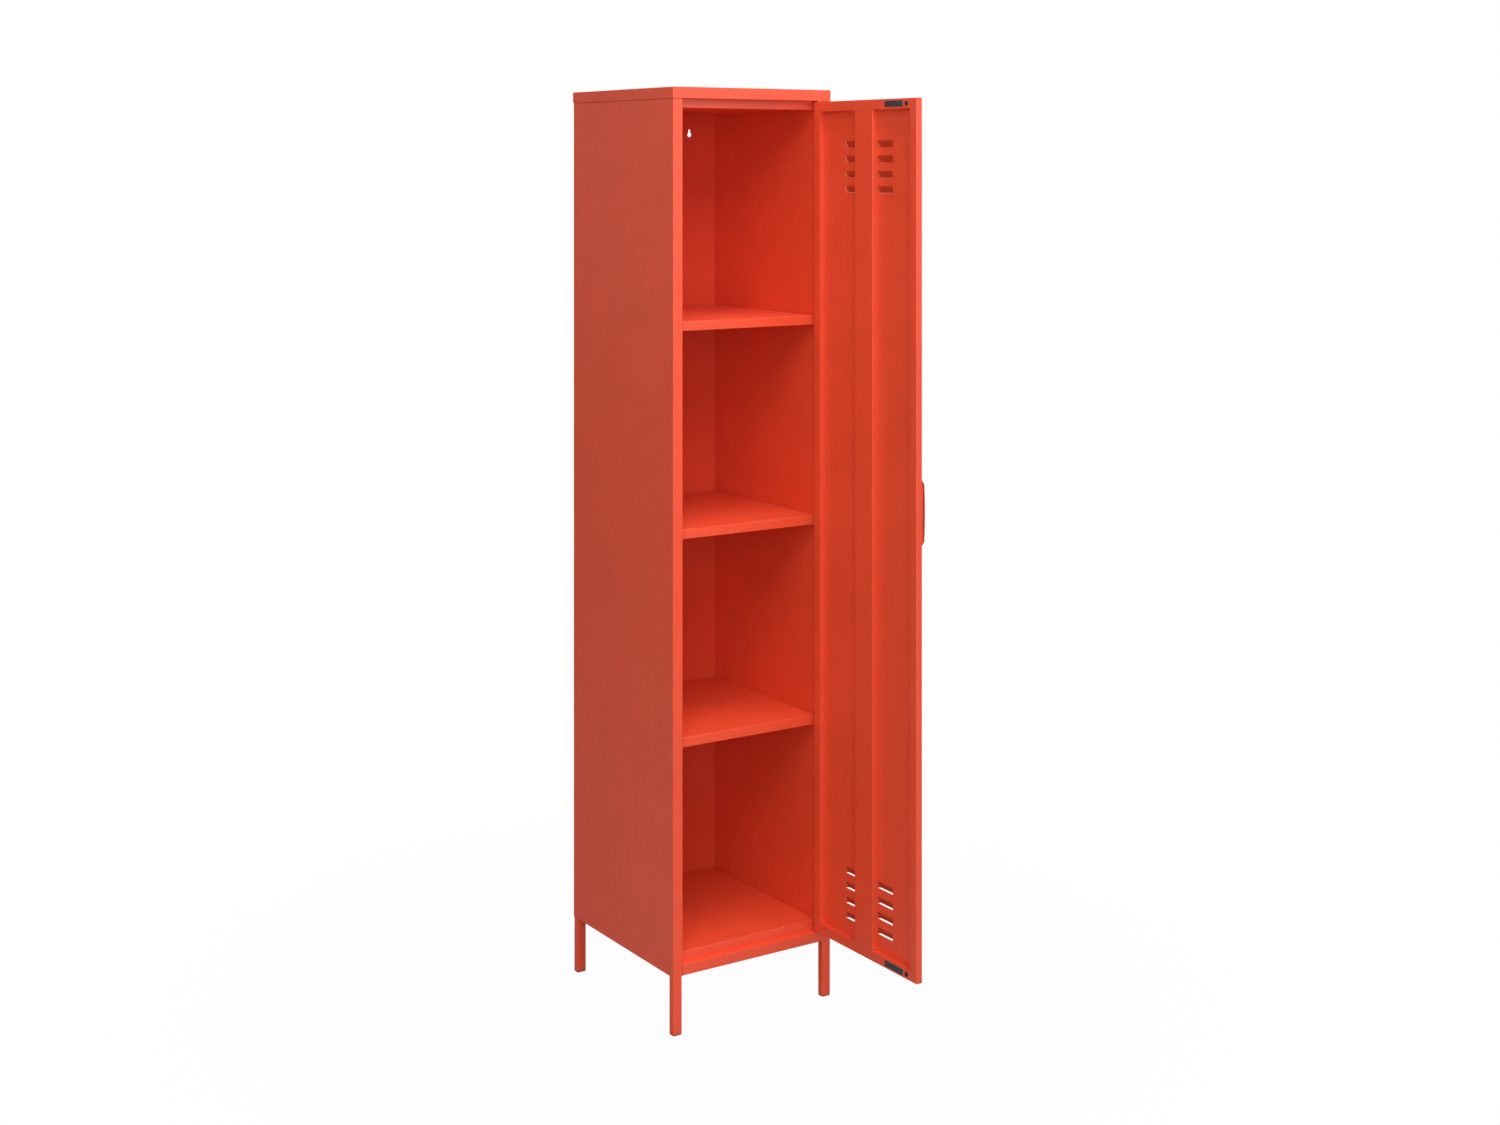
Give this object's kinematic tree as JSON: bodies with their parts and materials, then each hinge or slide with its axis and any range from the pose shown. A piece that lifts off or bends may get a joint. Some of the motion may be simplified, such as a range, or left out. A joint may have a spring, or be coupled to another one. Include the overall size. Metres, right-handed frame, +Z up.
{
  "type": "school locker",
  "caption": "Tall narrow steel locker on short legs, with shelves inside and one louvred door hinged at the right, standing open.",
  "frame": {"origin": "middle of the feet's footprint, on the floor", "axes": "+X to the locker's right seen from the front, +Y towards the back panel, +Z up"},
  "size_m": [0.38, 0.7261, 1.85],
  "materials": {
    "coral_paint": "satin coral red powder coat",
    "zinc_steel": "zinc plated",
    "black_nylon": "moulded, fine grain",
    "white_nylon": "plain",
    "ferrite": "dark grey magnet block",
    "black_rubber": "matt"
  },
  "bodies": {
    "cabinet": {"side_panel_left": "coral_paint", "side_panel_right": "coral_paint", "side_liner_left": "coral_paint", "side_liner_right": "coral_paint", "back_panel": "coral_paint", "back_rivets": "coral_paint", "top_cap": "coral_paint", "ceiling_panel": "coral_paint", "floor_panel": "coral_paint", "base_pan": "coral_paint", "shelf_lower": "coral_paint", "shelf_middle": "coral_paint", "shelf_upper": "coral_paint", "shelf_clips_lower": "coral_paint", "shelf_clips_middle": "coral_paint", "shelf_clips_upper": "coral_paint", "leg_front_left": "coral_paint", "leg_front_right": "coral_paint", "leg_rear_left": "coral_paint", "leg_rear_right": "coral_paint", "glide_front_left": "black_nylon", "glide_front_right": "black_nylon", "glide_rear_left": "black_nylon", "glide_rear_right": "black_nylon", "leg_plates": "coral_paint", "leg_screws": "zinc_steel", "leg_nuts": "zinc_steel", "hinge_pin_bottom": "zinc_steel", "hinge_pin_top": "zinc_steel", "hinge_washer": "white_nylon"},
    "door": {"door_skin": "coral_paint", "door_rib": "coral_paint", "door_pull": "coral_paint", "door_magnet_top": "ferrite", "door_magnet_bottom": "ferrite", "door_bumper_top": "black_rubber", "door_bumper_bottom": "black_rubber", "hinge_plate_top": "zinc_steel", "hinge_plate_bottom": "zinc_steel"}
  },
  "joints": [
    {"name": "door_hinge", "type": "hinge", "parent": "cabinet", "child": "door", "pos_m": [0.1637, -0.1961, 0.9815], "axis": [0, 0, 1], "range_deg": [-90, 10]}
  ]
}
